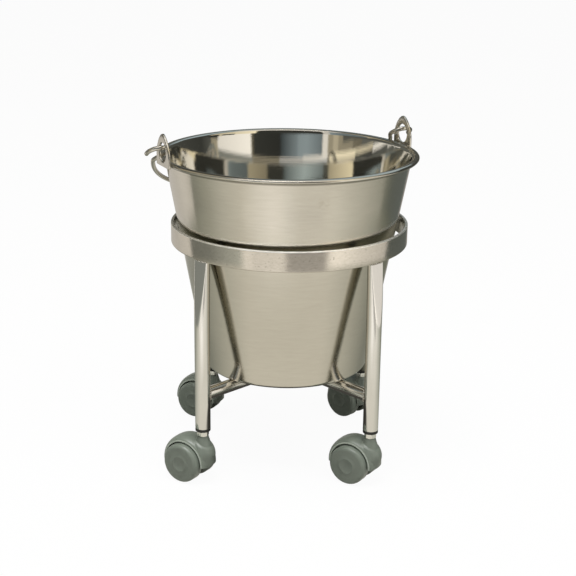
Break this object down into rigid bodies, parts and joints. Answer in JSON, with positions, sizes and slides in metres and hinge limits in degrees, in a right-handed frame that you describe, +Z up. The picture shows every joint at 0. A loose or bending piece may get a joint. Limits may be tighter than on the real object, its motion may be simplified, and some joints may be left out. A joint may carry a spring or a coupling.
{
  "type": "kick bucket",
  "caption": "Tapered stainless pail with a wire bail, standing loose in a hooped tube frame that rolls on hooded twin-wheel swivel casters.",
  "frame": {"origin": "on the floor, under the middle of the whole part's box", "axes": "+Z up, +Y to the back (the side on which the bail hangs), +X to the right"},
  "size_m": [0.3334, 0.3248, 0.4332],
  "materials": {
    "stainless": "polished to satin stainless steel",
    "bail_wire": "polished stainless wire",
    "grey_plastic": "satin grey-green plastic",
    "black_plastic": "black plastic",
    "zinc_steel": "bright plated steel"
  },
  "bodies": {
    "frame": {"support_hoop": "stainless", "crossbar_long": "stainless", "crossbar_half_rear": "stainless", "crossbar_half_front": "stainless", "leg_front_left": "stainless", "leg_insert_front_left": "black_plastic", "caster_stem_front_left": "zinc_steel", "leg_front_right": "stainless", "leg_insert_front_right": "black_plastic", "caster_stem_front_right": "zinc_steel", "leg_rear_left": "stainless", "leg_insert_rear_left": "black_plastic", "caster_stem_rear_left": "zinc_steel", "leg_rear_right": "stainless", "leg_insert_rear_right": "black_plastic", "caster_stem_rear_right": "zinc_steel"},
    "pail": {"pail_shell": "stainless", "ear_left": "stainless", "ear_right": "stainless"},
    "bail": {"bail_handle": "bail_wire"},
    "caster_front_left": {"caster_hood_front_left": "grey_plastic", "stem_clip_front_left": "zinc_steel", "caster_axle_front_left": "zinc_steel"},
    "wheel_near_front_left_body": {"wheel_near_front_left": "grey_plastic"},
    "wheel_far_front_left_body": {"wheel_far_front_left": "grey_plastic"},
    "caster_front_right": {"caster_hood_front_right": "grey_plastic", "stem_clip_front_right": "zinc_steel", "caster_axle_front_right": "zinc_steel"},
    "wheel_near_front_right_body": {"wheel_near_front_right": "grey_plastic"},
    "wheel_far_front_right_body": {"wheel_far_front_right": "grey_plastic"},
    "caster_rear_left": {"caster_hood_rear_left": "grey_plastic", "stem_clip_rear_left": "zinc_steel", "caster_axle_rear_left": "zinc_steel"},
    "wheel_near_rear_left_body": {"wheel_near_rear_left": "grey_plastic"},
    "wheel_far_rear_left_body": {"wheel_far_rear_left": "grey_plastic"},
    "caster_rear_right": {"caster_hood_rear_right": "grey_plastic", "stem_clip_rear_right": "zinc_steel", "caster_axle_rear_right": "zinc_steel"},
    "wheel_near_rear_right_body": {"wheel_near_rear_right": "grey_plastic"},
    "wheel_far_rear_right_body": {"wheel_far_rear_right": "grey_plastic"}
  },
  "joints": [
    {"name": "pail_lift", "type": "slide", "parent": "frame", "child": "pail", "axis": [0, 0, 1], "range_m": [0, 0.3]},
    {"name": "bail_swing", "type": "hinge", "parent": "pail", "child": "bail", "pos_m": [0.00429, 0, 0.4167], "axis": [0.8988, 0.4384, 0], "range_deg": [0, 244]},
    {"name": "caster_swivel_front_left", "type": "hinge", "parent": "frame", "child": "caster_front_left", "pos_m": [-0.09715, -0.10394, 0.05], "axis": [0, 0, 1], "continuous": true},
    {"name": "wheel_near_spin_front_left", "type": "hinge", "parent": "caster_front_left", "child": "wheel_near_front_left_body", "pos_m": [-0.11454, -0.09308, 0.025], "axis": [0.5299, 0.848, 0], "continuous": true},
    {"name": "wheel_far_spin_front_left", "type": "hinge", "parent": "caster_front_left", "child": "wheel_far_front_left_body", "pos_m": [-0.11454, -0.09308, 0.025], "axis": [0.5299, 0.848, 0], "continuous": true},
    {"name": "caster_swivel_front_right", "type": "hinge", "parent": "frame", "child": "caster_front_right", "pos_m": [0.11074, -0.10394, 0.05], "axis": [0, 0, 1], "continuous": true},
    {"name": "wheel_near_spin_front_right", "type": "hinge", "parent": "caster_front_right", "child": "wheel_near_front_right_body", "pos_m": [0.09335, -0.09308, 0.025], "axis": [0.5299, 0.848, 0], "continuous": true},
    {"name": "wheel_far_spin_front_right", "type": "hinge", "parent": "caster_front_right", "child": "wheel_far_front_right_body", "pos_m": [0.09335, -0.09308, 0.025], "axis": [0.5299, 0.848, 0], "continuous": true},
    {"name": "caster_swivel_rear_left", "type": "hinge", "parent": "frame", "child": "caster_rear_left", "pos_m": [-0.09715, 0.10394, 0.05], "axis": [0, 0, 1], "continuous": true},
    {"name": "wheel_near_spin_rear_left", "type": "hinge", "parent": "caster_rear_left", "child": "wheel_near_rear_left_body", "pos_m": [-0.11558, 0.11293, 0.025], "axis": [0.4384, 0.8988, 0], "continuous": true},
    {"name": "wheel_far_spin_rear_left", "type": "hinge", "parent": "caster_rear_left", "child": "wheel_far_rear_left_body", "pos_m": [-0.11558, 0.11293, 0.025], "axis": [0.4384, 0.8988, 0], "continuous": true},
    {"name": "caster_swivel_rear_right", "type": "hinge", "parent": "frame", "child": "caster_rear_right", "pos_m": [0.11074, 0.10394, 0.05], "axis": [0, 0, 1], "continuous": true},
    {"name": "wheel_near_spin_rear_right", "type": "hinge", "parent": "caster_rear_right", "child": "wheel_near_rear_right_body", "pos_m": [0.09599, 0.11818, 0.025], "axis": [0.6947, 0.7193, 0], "continuous": true},
    {"name": "wheel_far_spin_rear_right", "type": "hinge", "parent": "caster_rear_right", "child": "wheel_far_rear_right_body", "pos_m": [0.09599, 0.11818, 0.025], "axis": [0.6947, 0.7193, 0], "continuous": true}
  ]
}
